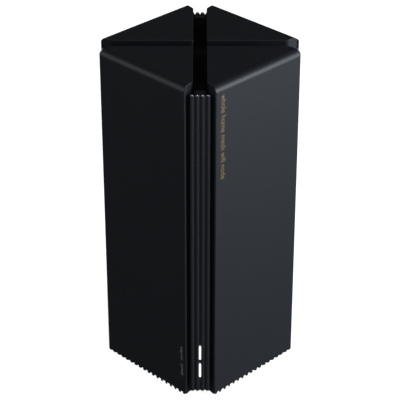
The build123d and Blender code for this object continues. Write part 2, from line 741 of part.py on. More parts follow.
# ---- Heat sinks ----
def make_heat_sink(name, base_x, side):
    """A base plate with upright fins that reach out towards one side corner (side is -1 or +1)."""
    with BuildPart() as sink:
        with BuildSketch(side_plane(base_x)):
            with Locations((0, SINK_MID_Z)):
                Rectangle(2 * SINK_HALF, SINK_HIGH_Z - SINK_LOW_Z)
            hole_r = SCREW_R + (GAP if side < 0 else HOLE_GAP)
            with Locations(*SINK_SCREW_SPOTS):
                Circle(hole_r, mode=Mode.SUBTRACT)
        extrude(amount=side * SINK_BASE_T)
        fin_from = base_x + side * SINK_BASE_T
        with BuildSketch(Plane.XY.offset(SINK_LOW_Z)):
            for i in range(FIN_COUNT):
                y = (i - (FIN_COUNT - 1) / 2) * FIN_PITCH
                fin_to = side * min(FIN_REACH, FIN_DIAGONAL - abs(y))
                with Locations(((fin_from + fin_to) / 2, y)):
                    Rectangle(abs(fin_to - fin_from), FIN_T)
        extrude(amount=SINK_HIGH_Z - SINK_LOW_Z)
    save(sink.part, name)


make_heat_sink("heat_sink_left", SINK_LEFT_X, -1)
make_heat_sink("heat_sink_right", SINK_RIGHT_X, 1)

with BuildPart() as heat_sink_spacers:
    with BuildSketch(side_plane(SINK_LEFT_X)):
        with Locations(*SINK_SCREW_SPOTS):
            Circle(3)
            Circle(SCREW_R + GAP, mode=Mode.SUBTRACT)
    extrude(amount=BOARD_LEFT_X - SINK_LEFT_X)
    with BuildSketch(side_plane(BOARD_X)):
        with Locations(*SINK_SCREW_SPOTS):
            Circle(3)
            Circle(SCREW_R + GAP, mode=Mode.SUBTRACT)
    extrude(amount=SINK_RIGHT_X - BOARD_X)
save(heat_sink_spacers.part, "heat_sink_spacers")


def make_side_screws(name, head_x, shank, spots):
    """Pan-head screws driven towards +X, with their heads against the face at head_x."""
    with BuildPart() as screws:
        with BuildSketch(side_plane(head_x)):
            with Locations(*spots):
                Circle(SCREW_HEAD_R - 0.3)
        extrude(amount=-SCREW_HEAD_T)
        with BuildSketch(side_plane(head_x)):
            with Locations(*spots):
                Circle(SCREW_R)
        extrude(amount=shank)
        with BuildSketch(side_plane(head_x - SCREW_HEAD_T)):
            with Locations(*spots):
                Rectangle(2.6, 0.7)
                Rectangle(0.7, 2.6)
        extrude(amount=0.8, mode=Mode.SUBTRACT)
    save(screws.part, name)


sink_screw_length = SINK_RIGHT_X - SINK_LEFT_X + 2 * SINK_BASE_T
make_side_screws("heat_sink_screws", SINK_LEFT_X - SINK_BASE_T, sink_screw_length, SINK_SCREW_SPOTS)
board_screw_length = -POST_HALF - BOARD_LEFT_X + 2.0
make_side_screws("board_screws", BOARD_LEFT_X, board_screw_length, BOARD_SCREW_SPOTS)


# ---- Socket panel at the rear corner ----
with BuildPart() as port_panel:
    panel_mid_z = (PANEL_LOW_Z + PANEL_TOP_Z) / 2
    with BuildSketch(rear_plane(PANEL_BACK_U)):
        with Locations((0, panel_mid_z)):
            Rectangle(2 * PANEL_HALF, PANEL_TOP_Z - PANEL_LOW_Z)
        with Locations(*[(0, z) for z in JACK_ZS]):
            Rectangle(JACK_THICK + GAP, JACK_WIDTH + GAP, mode=Mode.SUBTRACT)
        with Locations((0, POWER_Z)):
            Circle(POWER_BORE_R + 0.4, mode=Mode.SUBTRACT)
        with Locations((0, BUTTON_Z)):
            hole_width = BUTTON_WIDTH + 2 * BUTTON_GAP
            SlotOverall(BUTTON_LENGTH + 2 * BUTTON_GAP, hole_width, rotation=90, mode=Mode.SUBTRACT)
        with Locations((0, RESET_Z)):
            Circle(PINHOLE_R, mode=Mode.SUBTRACT)
    extrude(amount=-PANEL_T)
    # side flanges that stiffen the panel
    with BuildSketch(rear_plane(PANEL_BACK_U)):
        flange_x = PANEL_HALF - PANEL_FLANGE_T / 2
        with Locations((-flange_x, panel_mid_z), (flange_x, panel_mid_z)):
            Rectangle(PANEL_FLANGE_T, PANEL_TOP_Z - PANEL_LOW_Z)
    extrude(amount=PANEL_FLANGE_DEPTH)
    # foot that is screwed to the base
    foot_u = ARM_U - 3.4
    with BuildSketch(Plane.XY.offset(BASE_TOP_Z)):
        with Locations((0, (foot_u + PANEL_BACK_U) / 2)):
            Rectangle(7.0, PANEL_BACK_U - foot_u)
        with Locations((0, foot_u)):
            Circle(3.5)
    extrude(amount=1.6)
    with BuildSketch(Plane.XY.offset(BASE_TOP_Z)):
        with Locations((0, foot_u)):
            Circle(3.0)
    extrude(amount=3.0)
    with BuildSketch(Plane.XY.offset(BASE_TOP_Z)):
        with Locations((0, foot_u)):
            Circle(SCREW_R + HOLE_GAP)
    extrude(amount=3.0, mode=Mode.SUBTRACT)
    # posts and heat stakes for the button board
    with BuildSketch(rear_plane(PANEL_BACK_U)):
        with Locations((-STAKE_X, STAKE_Z), (STAKE_X, STAKE_Z)):
            Circle(STAKE_POST_R)
    extrude(amount=PANEL_BACK_U - BUTTON_BOARD_U)
    with BuildSketch(rear_plane(BUTTON_BOARD_U)):
        with Locations((-STAKE_X, STAKE_Z), (STAKE_X, STAKE_Z)):
            Circle(STAKE_R)
    extrude(amount=BUTTON_BOARD_T + 0.4)
save(port_panel.part, "port_panel")


# ---- Network sockets ----
def socket_mouth(growth):
    """Outline of a network socket: the plug's rectangle with the stepped latch slot beside it."""
    plug_mid = (PLUG_LOW_X + PLUG_HIGH_X) / 2
    with Locations((plug_mid, 0)):
        Rectangle(PLUG_HIGH_X - PLUG_LOW_X + growth, PLUG_WIDTH + growth)
    with Locations(((PLUG_HIGH_X + LATCH_HIGH_X) / 2, 0)):
        Rectangle(LATCH_HIGH_X - PLUG_HIGH_X + growth, LATCH_WIDE + growth)
    with Locations(((LATCH_HIGH_X + LATCH_TOP_X) / 2, 0)):
        Rectangle(LATCH_TOP_X - LATCH_HIGH_X + growth, LATCH_NARROW + growth)


def make_network_jack(number, z):
    with BuildPart() as shell:
        with BuildSketch(rear_plane(JACK_FRONT_U)):
            with Locations((0, z)):
                Rectangle(JACK_THICK, JACK_WIDTH)
        extrude(amount=JACK_DEPTH)
        with BuildSketch(rear_plane(JACK_FRONT_U - SHELL_T)):
            with Locations((-SHELL_T / 2, z)):
                Rectangle(JACK_THICK - SHELL_T, JACK_WIDTH - 2 * SHELL_T)
        extrude(amount=JACK_DEPTH - 2 * SHELL_T, mode=Mode.SUBTRACT)
        with BuildSketch(rear_plane(JACK_FRONT_U)):
            with Locations((0, z)):
                socket_mouth(GAP)
        extrude(amount=SHELL_T, mode=Mode.SUBTRACT)
    save(shell.part, f"network_jack_shell_{number}")
    insert_front_u = JACK_FRONT_U - SHELL_T - 0.1
    with BuildPart() as insert:
        with BuildSketch(rear_plane(insert_front_u)):
            with Locations((-SHELL_T / 2 - 0.05, z)):
                Rectangle(JACK_THICK - SHELL_T - 0.1, JACK_WIDTH - 2 * SHELL_T - 0.1)
        extrude(amount=JACK_DEPTH - 2 * SHELL_T - 0.2)
        with BuildSketch(rear_plane(insert_front_u)):
            with Locations((0, z)):
                socket_mouth(0.0)
        extrude(amount=PLUG_DEPTH, mode=Mode.SUBTRACT)
    save(insert.part, f"network_jack_insert_{number}")


for index, jack_z in enumerate(JACK_ZS):
    make_network_jack(index + 1, jack_z)

# eight bent contact wires in each socket, standing on the wall beside the circuit board
with BuildPart() as network_jack_contacts:
    wire_front = JACK_FRONT_U - 3.0
    wire_back = JACK_FRONT_U - PLUG_DEPTH - SHELL_T
    for jack_z in JACK_ZS:
        for index in range(CONTACT_COUNT):
            wire_z = jack_z + (index - (CONTACT_COUNT - 1) / 2) * CONTACT_PITCH
            with BuildSketch(Plane.XY.offset(wire_z - CONTACT_T / 2)):
                with BuildLine():
                    Polyline(
                        (PLUG_LOW_X, wire_front),
                        (PLUG_LOW_X + 0.7, wire_front),
                        (PLUG_LOW_X + 2.5, wire_back),
                        (PLUG_LOW_X + 2.1, wire_back),
                        (PLUG_LOW_X + 0.3, wire_front - 0.4),
                        (PLUG_LOW_X, wire_front - 0.4),
                        close=True,
                    )
                make_face()
            extrude(amount=CONTACT_T)
save(network_jack_contacts.part, "network_jack_contacts")


# ---- Power socket ----
with BuildPart() as power_jack_housing:
    with BuildSketch(rear_plane(POWER_FRONT_U)):
        with Locations(((BOARD_X + POWER_HIGH_X) / 2, POWER_Z)):
            Rectangle(POWER_HIGH_X - BOARD_X, POWER_WIDTH)
    extrude(amount=POWER_DEPTH)
    with BuildSketch(rear_plane(POWER_FRONT_U)):
        with Locations((0, POWER_Z)):
            Circle(POWER_BORE_R)
        with Locations((-POWER_BORE_R - POWER_LEAF_T / 2, POWER_Z)):
            Rectangle(POWER_LEAF_T + 1.0, 2 * (POWER_LEAF_HALF + 0.1))
    extrude(amount=POWER_BORE_DEPTH, mode=Mode.SUBTRACT)
    with BuildSketch(rear_plane(POWER_FRONT_U)):
        with Locations((0, POWER_Z)):
            Circle(POWER_PIN_R + HOLE_GAP)
    extrude(amount=POWER_BORE_DEPTH + POWER_PIN_SEAT, mode=Mode.SUBTRACT)
save(power_jack_housing.part, "power_jack_housing")

with BuildPart() as power_jack_pin:
    with BuildSketch(rear_plane(POWER_FRONT_U - 0.8)):
        with Locations((0, POWER_Z)):
            Circle(POWER_PIN_R)
    extrude(amount=POWER_BORE_DEPTH + POWER_PIN_SEAT - 0.8)
    fillet(power_jack_pin.edges().group_by(Axis.Y)[-1], 0.5)
save(power_jack_pin.part, "power_jack_pin")

with BuildPart() as power_jack_leaf:
    leaf_x = -POWER_BORE_R - POWER_LEAF_T / 2 - (POWER_LEAF_T + 1.0) / 2
    with BuildSketch(rear_plane(POWER_FRONT_U - 1.0)):
        with Locations((leaf_x + POWER_LEAF_T / 2, POWER_Z)):
            Rectangle(POWER_LEAF_T, 2 * POWER_LEAF_HALF)
    extrude(amount=POWER_BORE_DEPTH - 1.0)
save(power_jack_leaf.part, "power_jack_leaf")


# ---- Buttons behind the socket panel ----
with BuildPart() as button_board:
    board_top = PANEL_TOP_Z - 0.5
    board_left = BOARD_X
    with BuildSketch(rear_plane(BUTTON_BOARD_U)):
        with Locations(((board_left + BUTTON_BOARD_HALF) / 2, (BUTTON_BOARD_LOW_Z + board_top) / 2)):
            Rectangle(BUTTON_BOARD_HALF - board_left, board_top - BUTTON_BOARD_LOW_Z)
        with Locations((-STAKE_X, STAKE_Z), (STAKE_X, STAKE_Z)):
            Circle(STAKE_R + HOLE_GAP, mode=Mode.SUBTRACT)
    extrude(amount=BUTTON_BOARD_T)
save(button_board.part, "button_board")


def make_switch(name, z):
    """A small push switch: a square body with a round plunger that slides in its bore."""
    with BuildPart() as body:
        with BuildSketch(rear_plane(SWITCH_FACE_U)):
            with Locations((0, z)):
                RectangleRounded(SWITCH_SIZE, SWITCH_SIZE, 0.5)
        extrude(amount=SWITCH_T)
        with BuildSketch(rear_plane(SWITCH_FACE_U)):
            with Locations((0, z)):
                Circle(PLUNGER_R + PLUNGER_FIT)
        extrude(amount=PLUNGER_SEAT + BUTTON_TRAVEL + 0.3, mode=Mode.SUBTRACT)
    save(body.part, f"{name}_switch_body")
    with BuildPart() as plunger:
        with BuildSketch(rear_plane(SWITCH_FACE_U + PLUNGER_PROUD)):
            with Locations((0, z)):
                Circle(PLUNGER_R)
        extrude(amount=PLUNGER_PROUD + PLUNGER_SEAT)
    save(plunger.part, f"{name}_switch_plunger")


make_switch("mesh", BUTTON_Z)
make_switch("reset", RESET_Z)

with BuildPart() as mesh_button:
    flange_u = PANEL_BACK_U - 0.1
    with BuildSketch(rear_plane(PANEL_U + BUTTON_PROUD)):
        with Locations((0, BUTTON_Z)):
            SlotOverall(BUTTON_LENGTH, BUTTON_WIDTH, rotation=90)
    extrude(amount=PANEL_U + BUTTON_PROUD - flange_u)
    fillet(mesh_button.faces().sort_by(Axis.Y)[-1].edges(), 0.4)
    with BuildSketch(rear_plane(flange_u)):
        with Locations((0, BUTTON_Z)):
            SlotOverall(BUTTON_LENGTH + 2 * BUTTON_FLANGE, BUTTON_WIDTH + 2 * BUTTON_FLANGE, rotation=90)
    extrude(amount=BUTTON_FLANGE_T)
    stem_u = flange_u - BUTTON_FLANGE_T
    stem_end_u = SWITCH_FACE_U + PLUNGER_PROUD + 0.05
    with BuildSketch(rear_plane(stem_u)):
        with Locations((0, BUTTON_Z)):
            Circle(PLUNGER_R + 0.3)
    extrude(amount=stem_u - stem_end_u)
save(mesh_button.part, "mesh_button")


# ---- Antennas ----
def make_antenna(name, turn):
    with BuildPart() as antenna:
        with BuildSketch(face_plane(turn, ANTENNA_FACE)):
            with Locations((0, (ANTENNA_LOW_Z + ANTENNA_HIGH_Z) / 2)):
                Rectangle(ANTENNA_WIDTH, ANTENNA_HIGH_Z - ANTENNA_LOW_Z)
        extrude(amount=-ANTENNA_T)
    save(antenna.part, name)


make_antenna("antenna_front_right", FRONT)
make_antenna("antenna_rear_right", RIGHT)
make_antenna("antenna_rear_left", REAR)
make_antenna("antenna_front_left", LEFT)

# each lead leaves the edge of its antenna that is nearer the front or rear corner
LEAD_MIDDLE = ANTENNA_FACE - ANTENNA_T / 2
LEAD_X = (LEAD_MIDDLE - ANTENNA_WIDTH / 2) / math.sqrt(2)
LEAD_Y = (LEAD_MIDDLE + ANTENNA_WIDTH / 2) / math.sqrt(2)


def make_antenna_leads():
    with BuildPart() as leads:
        for side in (-1, 1):
            end_x = BOARD_X + CONNECTOR_T if side > 0 else BOARD_LEFT_X - CONNECTOR_T
            start_x = side * (LEAD_X - LEAD_R)
            for y in (-LEAD_Y, LEAD_Y):
                high = LEAD_Z + LEAD_DROP
                with BuildLine() as route:
                    FilletPolyline(
                        (start_x, y, high),
                        (start_x - side * LEAD_STRAIGHT, y, high),
                        (end_x + side * LEAD_STRAIGHT, y, LEAD_Z),
                        (end_x, y, LEAD_Z),
                        radius=LEAD_BEND_R,
                    )
                with BuildSketch(Plane(origin=(start_x, y, high), z_dir=(1, 0, 0))):
                    Circle(LEAD_R)
                sweep(path=route.line)
    save(leads.part, "antenna_leads")


make_antenna_leads()

with BuildPart() as antenna_connectors:
    with BuildSketch(side_plane(BOARD_X)):
        with Locations((-LEAD_Y, LEAD_Z), (LEAD_Y, LEAD_Z)):
            Circle(CONNECTOR_R)
    extrude(amount=CONNECTOR_T)
    with BuildSketch(side_plane(BOARD_LEFT_X)):
        with Locations((-LEAD_Y, LEAD_Z), (LEAD_Y, LEAD_Z)):
            Circle(CONNECTOR_R)
    extrude(amount=-CONNECTOR_T)
save(antenna_connectors.part, "antenna_connectors")
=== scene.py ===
# %% [markdown]
# # A mesh wifi node, dressed for its portrait
#
# The tower is already designed: every solid, its size and its place come in as a fixed frame. This
# lesson gives it its looks. Large smooth mouldings are rebuilt as mesh surfaces with soft edges,
# because light on plastic is mostly told by its edges. Small hardware keeps its solid and only gets
# a finish. All lengths below are metres, and MM turns a workshop number into metres.

# %% Load the frame
import math

import bpy
import numpy as np
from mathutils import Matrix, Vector


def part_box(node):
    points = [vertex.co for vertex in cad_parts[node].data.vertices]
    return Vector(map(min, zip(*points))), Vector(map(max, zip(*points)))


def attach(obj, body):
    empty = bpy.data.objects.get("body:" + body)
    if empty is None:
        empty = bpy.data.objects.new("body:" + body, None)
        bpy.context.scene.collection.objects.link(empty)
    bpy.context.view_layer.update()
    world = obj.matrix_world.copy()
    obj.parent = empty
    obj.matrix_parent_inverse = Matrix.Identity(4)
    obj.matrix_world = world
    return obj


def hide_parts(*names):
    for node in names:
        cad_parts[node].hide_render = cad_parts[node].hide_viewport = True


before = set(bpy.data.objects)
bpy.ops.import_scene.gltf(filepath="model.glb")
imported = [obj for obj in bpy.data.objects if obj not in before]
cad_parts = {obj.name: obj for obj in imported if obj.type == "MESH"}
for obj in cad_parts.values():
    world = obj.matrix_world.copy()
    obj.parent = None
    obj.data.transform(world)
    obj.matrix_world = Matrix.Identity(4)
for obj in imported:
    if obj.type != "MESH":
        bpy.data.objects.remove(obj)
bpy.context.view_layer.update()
MM = 0.001
print("nodes in the frame:", len(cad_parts))

# %% [markdown]
# ## Sizes taken from the frame
#
# A piece that is rebuilt has to sit where its solid sits. So the driving sizes are read off the
# solids' boxes, and only the ones that a box can't tell, such as a rounding, are written down.

# %% Read the tower's sizes
cover_low, cover_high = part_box("front_right_cover")
strip_low, strip_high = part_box("front_corner_strip")
guide_low, guide_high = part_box("light_guides")
panel_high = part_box("port_panel")[1]
rear_strip_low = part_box("rear_corner_strip")[0]
HEIGHT = cover_high.z
RIM_Z = cover_low.z
GROOVE_HALF = cover_low.x
EDGE_U = cover_high.x
CREST_U = -strip_low.y
NECK_U = -strip_high.y
WALL = 2.0 * MM
MOUTH_HALF = 8.0 * MM
TIP_R = 0.8 * MM
LIP_DEPTH = 2.5 * MM
FLARE_RUN = 5.7 * MM
FLARE_R = 5.0 * MM
APEX_R = 0.8 * MM
CROWN = 0.1 * MM
TOP_EDGE_R = 4.4 * MM
SOFT_EDGE_R = 0.35 * MM
WALL_SHARE = 0.11
RIM_CORNER_R = 1.2 * MM
END_DIAGONAL = EDGE_U + MOUTH_HALF + TIP_R * math.sqrt(2)
MOUTH_U = END_DIAGONAL - MOUTH_HALF - LIP_DEPTH
FLARE_U = MOUTH_U - FLARE_RUN
FACE_MIDDLE = (END_DIAGONAL / math.sqrt(2) + CROWN) / math.sqrt(2)
FLOOR_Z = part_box("core_frame")[1].z
SKIRT_Z = FLOOR_Z - 1.0 * MM
BAY_TOP_Z = panel_high.z + 0.8 * MM
print("height", round(HEIGHT / MM, 2), "mm, corner edge", round(EDGE_U / MM, 2), "mm from the axis")


# %% [markdown]
# ## A helper that turns arrays into a mesh
#
# Every rebuilt piece is a grid: rows and columns of points worked out as whole arrays. This helper
# joins neighbouring points into four-sided faces, closes the grid round if asked, and hands it to
# Blender in one go, which is far quicker than adding faces one at a time.

# %% Grid helper
def grid_faces(rows, columns, closed):
    """Corner numbers of the quads of a rows x columns grid; closed joins the last column to the first."""
    across = columns if closed else columns - 1
    row, column = np.meshgrid(np.arange(rows - 1), np.arange(across), indexing="ij")
    after = (column + 1) % columns
    here, above = row * columns, (row + 1) * columns
    quads = np.stack([here + column, here + after, above + after, above + column], axis=-1)
    return quads.reshape(-1, 4)


def put_mesh(name, points, faces, smooth=True):
    """Make an object from an N x 3 array of points and a list or array of faces."""
    mesh = bpy.data.meshes.new(name)
    mesh.from_pydata(np.asarray(points, float).tolist(), [], [list(map(int, f)) for f in faces])
    mesh.validate()
    mesh.shade_smooth() if smooth else mesh.shade_flat()
    piece = bpy.data.objects.new(name, mesh)
    bpy.context.scene.collection.objects.link(piece)
    return piece


def turn_about_z(points, degrees):
    """Turn an array of points about the tower's axis."""
    angle = math.radians(degrees)
    c, s = math.cos(angle), math.sin(angle)
    x, y, z = points[..., 0], points[..., 1], points[..., 2]
    return np.stack([c * x - s * y, s * x + c * y, z], axis=-1)


def use_finish(piece, material):
    """Give a piece one material."""
    piece.data.materials.clear()
    piece.data.materials.append(material)


# %% [markdown]
# ## Finishes
#
# Moulded plastic isn't one flat colour. Its tool is spark-textured, so the surface has a fine grain
# that scatters light, and the pigment and the polish drift a little over a hand's width. Each finish
# below is made of the same three things: a slow drift in colour, a slow drift in roughness, and a
# fine grain as bump. All patterns read Object coordinates, so they stay put in every view.

# %% Plastic finish
def link(tree, output, socket):
    tree.links.new(output, socket)


def noise(tree, coordinates, scale, detail=2.0, roughness=0.5):
    """A noise pattern over the given coordinates; scale is in cells per metre."""
    node = tree.nodes.new("ShaderNodeTexNoise")
    node.inputs["Scale"].default_value = scale
    node.inputs["Detail"].default_value = detail
    node.inputs["Roughness"].default_value = roughness
    link(tree, coordinates, node.inputs["Vector"])
    return node.outputs["Fac"]


def spread(tree, value, low, high):
    """Stretch a pattern that runs from about 0.3 to 0.7 so that it runs from low to high."""
    node = tree.nodes.new("ShaderNodeMapRange")
    node.inputs["From Min"].default_value = 0.3
    node.inputs["From Max"].default_value = 0.7
    node.inputs["To Min"].default_value = low
    node.inputs["To Max"].default_value = high
    link(tree, value, node.inputs["Value"])
    return node.outputs["Result"]


def two_tone(tree, factor, dark, light):
    """Mix two colours by a pattern."""
    node = tree.nodes.new("ShaderNodeMix")
    node.data_type = "RGBA"
    node.inputs["A"].default_value = (*dark, 1)
    node.inputs["B"].default_value = (*light, 1)
    link(tree, factor, node.inputs["Factor"])
    return node.outputs["Result"]


def finish_material(name, dark, light, rough, grain, grain_depth, metallic=0.0, specular=0.5, drift=25.0):
    """A grained surface: colour between dark and light, roughness between two values, fine bump.

    grain is in cells per metre and grain_depth in metres. Both tones change over about 1/drift metres.
    """
    material = bpy.data.materials.new(name)
    material.use_nodes = True
    tree = material.node_tree
    shader = tree.nodes["Principled BSDF"]
    place = tree.nodes.new("ShaderNodeTexCoord").outputs["Object"]
    slow = noise(tree, place, drift, detail=3.0)
    fine = noise(tree, place, grain, detail=4.0, roughness=0.6)
    link(tree, two_tone(tree, slow, dark, light), shader.inputs["Base Color"])
    link(tree, spread(tree, fine, rough[0], rough[1]), shader.inputs["Roughness"])
    bump = tree.nodes.new("ShaderNodeBump")
    bump.inputs["Strength"].default_value = 1.0
    bump.inputs["Distance"].default_value = grain_depth
    link(tree, fine, bump.inputs["Height"])
    link(tree, bump.outputs["Normal"], shader.inputs["Normal"])
    shader.inputs["Metallic"].default_value = metallic
    shader.inputs["Specular IOR Level"].default_value = specular
    return material


charcoal = finish_material(
    "charcoal_moulding", (0.0078, 0.0098, 0.0138), (0.0096, 0.012, 0.0166), (0.46, 0.54), 5200, 0.000012,
)
near_black = finish_material(
    "near_black_moulding", (0.021, 0.0225, 0.027), (0.026, 0.028, 0.033), (0.3, 0.38), 5200, 0.000008,
)
black_inner = finish_material(
    "black_inner_moulding", (0.002, 0.002, 0.0022), (0.0035, 0.0035, 0.004), (0.6, 0.75), 3500, 0.00003,
    specular=0.12,
)
foot_rubber = finish_material(
    "foot_rubber", (0.012, 0.012, 0.012), (0.02, 0.02, 0.02), (0.75, 0.9), 2500, 0.00004
)
steel = finish_material(
    "tinned_steel", (0.42, 0.42, 0.41), (0.58, 0.58, 0.56), (0.24, 0.4), 1800, 0.000005, metallic=1.0
)
gold_plate = finish_material(
    "gold_plate", (0.78, 0.52, 0.2), (0.88, 0.62, 0.28), (0.2, 0.3), 3000, 0.000003, metallic=1.0
)
extruded_aluminium = finish_material(
    "extruded_aluminium", (0.5, 0.5, 0.51), (0.66, 0.66, 0.68), (0.35, 0.5), 2600, 0.00001, metallic=1.0
)
board_green = finish_material(
    "board_green", (0.006, 0.05, 0.028), (0.01, 0.075, 0.04), (0.3, 0.42), 900, 0.00001, drift=120
)
board_black = finish_material(
    "board_black", (0.01, 0.01, 0.013), (0.02, 0.02, 0.022), (0.3, 0.45), 900, 0.00001, drift=120
)
chip_epoxy = finish_material(
    "chip_epoxy", (0.01, 0.01, 0.01), (0.018, 0.018, 0.018), (0.5, 0.65), 4200, 0.00002
)
flex_amber = finish_material("flex_amber", (0.3, 0.13, 0.02), (0.4, 0.18, 0.03), (0.25, 0.35), 800, 0.000005)
soft_pad = finish_material("soft_pad", (0.2, 0.24, 0.33), (0.26, 0.3, 0.4), (0.8, 0.9), 2200, 0.00003)
lead_jacket = finish_material(
    "lead_jacket", (0.012, 0.012, 0.012), (0.02, 0.02, 0.02), (0.45, 0.6), 2500, 0.00001
)
white_ceramic = finish_material(
    "white_ceramic", (0.6, 0.6, 0.58), (0.7, 0.7, 0.68), (0.3, 0.4), 2500, 0.000005
)
label_film = finish_material("label_film", (0.2, 0.2, 0.205), (0.25, 0.25, 0.255), (0.4, 0.5), 1500, 0.000005)
print("finishes:", len(bpy.data.materials))

# %% [markdown]
# The ribs end in small domes, and each rib shows one bright dot there. That dot is a painted highlight:
# above the given height a height mask turns the surface to polished metal, over a tenth of a millimetre,
# so that the tip catches the small lamp high in front. A second material would need its own faces; the mask
# does it in the same one.


# %% Rib tips with a painted highlight
def painted_highlight_above(material, height):
    """Turn a finish into polished metal above a height, by masking its colour, metal and roughness: a painted
    highlight that catches a lamp as a dot.
    """
    tree = material.node_tree
    shader = tree.nodes["Principled BSDF"]
    parts = tree.nodes.new("ShaderNodeSeparateXYZ")
    link(tree, tree.nodes["Texture Coordinate"].outputs["Object"], parts.inputs["Vector"])
    highlight_mask = tree.nodes.new("ShaderNodeMapRange")
    highlight_mask.inputs["From Min"].default_value = height
    highlight_mask.inputs["From Max"].default_value = height + 0.1 * MM
    link(tree, parts.outputs["Z"], highlight_mask.inputs["Value"])
    link(tree, highlight_mask.outputs["Result"], shader.inputs["Metallic"])
    # the polished colour and roughness here make the painted highlight on the rib tips
    for socket, kind, highlight_look in (("Base Color", "RGBA", (0.8, 0.8, 0.82, 1)), ("Roughness", "FLOAT", 0.22)):
        before = shader.inputs[socket].links[0].from_socket
        blend = tree.nodes.new("ShaderNodeMix")
        blend.data_type = kind
        ends = [plug for plug in blend.inputs if plug.type == ("RGBA" if kind == "RGBA" else "VALUE")]
        ends = [plug for plug in ends if plug.name in ("A", "B")]
        ends[1].default_value = highlight_look
        link(tree, before, ends[0])
        link(tree, highlight_mask.outputs["Result"], blend.inputs["Factor"])
        result = [plug for plug in blend.outputs if plug.type == ends[0].type][0]
        link(tree, result, shader.inputs[socket])


# rib finish whose tips carry the painted highlight dots
rib_finish_with_painted_highlight = finish_material(
    "rib_moulding_painted_highlight", (0.021, 0.0225, 0.027), (0.026, 0.028, 0.033), (0.34, 0.42), 5200, 0.000008
)
# painted highlight: polished metal above this height gives each rib tip its bright dot
painted_highlight_above(rib_finish_with_painted_highlight, HEIGHT - 5.9 * MM)

# %% [markdown]
# ## The status light
#
# A light guide is a stick of clear plastic with a lamp behind it. It looks brightest along its middle
# and falls off at its edges, where less light reaches the front. Emission with a slight drift gives that
# look. Only the front of the stick glows, since a shield inside keeps the light from leaking out.


# %% Light finish
def light_material():
    """Cool white emission from the front of each bar only, with a slight drift along it."""
    material = bpy.data.materials.new("lit_guide")
    material.use_nodes = True
    tree = material.node_tree
    shader = tree.nodes["Principled BSDF"]
    place = tree.nodes.new("ShaderNodeTexCoord").outputs["Object"]
    shader.inputs["Base Color"].default_value = (0.8, 0.83, 0.86, 1)
    shader.inputs["Roughness"].default_value = 0.4
    cloud = noise(tree, place, 400, detail=1.0)
    parts = tree.nodes.new("ShaderNodeSeparateXYZ")
    link(tree, place, parts.inputs["Vector"])
    front_only = tree.nodes.new("ShaderNodeMapRange")
    front_only.inputs["From Min"].default_value = 2.0 * MM - CREST_U
    front_only.inputs["From Max"].default_value = 1.5 * MM - CREST_U
    link(tree, parts.outputs["Y"], front_only.inputs["Value"])
    product = tree.nodes.new("ShaderNodeMath")
    product.operation = "MULTIPLY"
    link(tree, spread(tree, cloud, 0.95, 1.1), product.inputs[0])
    link(tree, front_only.outputs["Result"], product.inputs[1])
    link(tree, product.outputs[0], shader.inputs["Emission Strength"])
    shader.inputs["Emission Color"].default_value = (0.93, 0.97, 1.0, 1)
    return material


lit_guide = light_material()


# %% [markdown]
# ## The plan of a cover
#
# Seen from above, each cover is a quarter of the square: a slightly crowned outer face, a small
# rounded edge at each end, a lip, a flare that narrows the corner channel, and two straight walls
# along the groove. The plan could be drawn point by point. Here it is put together from lines and
# arcs instead, so that every rounding stays round. Only half is worked out, because the other half
# is its mirror image across the diagonal.

# %% Plan of one cover
def arc(centre, radius, start, stop, count):
    """Points on a circle from one angle to another, in degrees."""
    angle = np.radians(np.linspace(start, stop, count))
    return np.stack([centre[0] + radius * np.cos(angle), centre[1] + radius * np.sin(angle)], axis=-1)


def straight(a, b, count, soften=0.0):
    """Points from a to b without the ends; soften puts one more point that far from each end."""
    a, b = np.array(a), np.array(b)
    length = np.hypot(*(b - a))
    t = np.linspace(0, 1, count + 2)[1:-1]
    if soften:
        t = np.unique(np.concatenate([[soften / length], t, [1 - soften / length]]))
    return a + (b - a) * t[:, None]


FLARE_ANGLE = math.degrees(math.atan2(MOUTH_HALF - GROOVE_HALF, FLARE_RUN))
CREASE_R = 0.25 * MM
HOLD_U = FLARE_U - FLARE_R * math.tan(math.radians(FLARE_ANGLE / 2)) - 0.3 * MM


def half_plan():
    """Plan points from the groove's inner corner out to one upright edge, along the +X arm (y < 0)."""
    apex = arc((GROOVE_HALF + APEX_R, -GROOVE_HALF - APEX_R), APEX_R, 135, 90, 5)
    turn = FLARE_R * math.tan(math.radians(FLARE_ANGLE / 2))
    flare_start = arc((FLARE_U - turn, -GROOVE_HALF - FLARE_R), FLARE_R, 90, 90 - FLARE_ANGLE, 9)
    inside = CREASE_R * math.tan(math.radians(FLARE_ANGLE / 2))
    crease = arc((MOUTH_U + inside, -MOUTH_HALF + CREASE_R), CREASE_R, 270 - FLARE_ANGLE, 270, 5)
    tip_centre = (END_DIAGONAL - TIP_R * math.sqrt(2) - MOUTH_HALF - TIP_R, -MOUTH_HALF - TIP_R)
    tip = arc(tip_centre, TIP_R, 90, -45, 15)
    hold = np.array([[HOLD_U, -GROOVE_HALF], [HOLD_U + NOTCH_SLANT, -GROOVE_HALF]])
    return np.concatenate(
        [
            apex,
            straight(apex[-1], hold[0], 24, soften=0.3 * MM),
            hold,
            flare_start,
            straight(flare_start[-1], crease[0], 8, soften=0.2 * MM),
            crease,
            straight(crease[-1], tip[0], 4),
            tip,
        ]
    )


NOTCH_PITCH = 4.0 * MM
NOTCH_WIDTH = 2.2 * MM
NOTCH_HEIGHT = 1.4 * MM
NOTCH_SLANT = 0.1 * MM


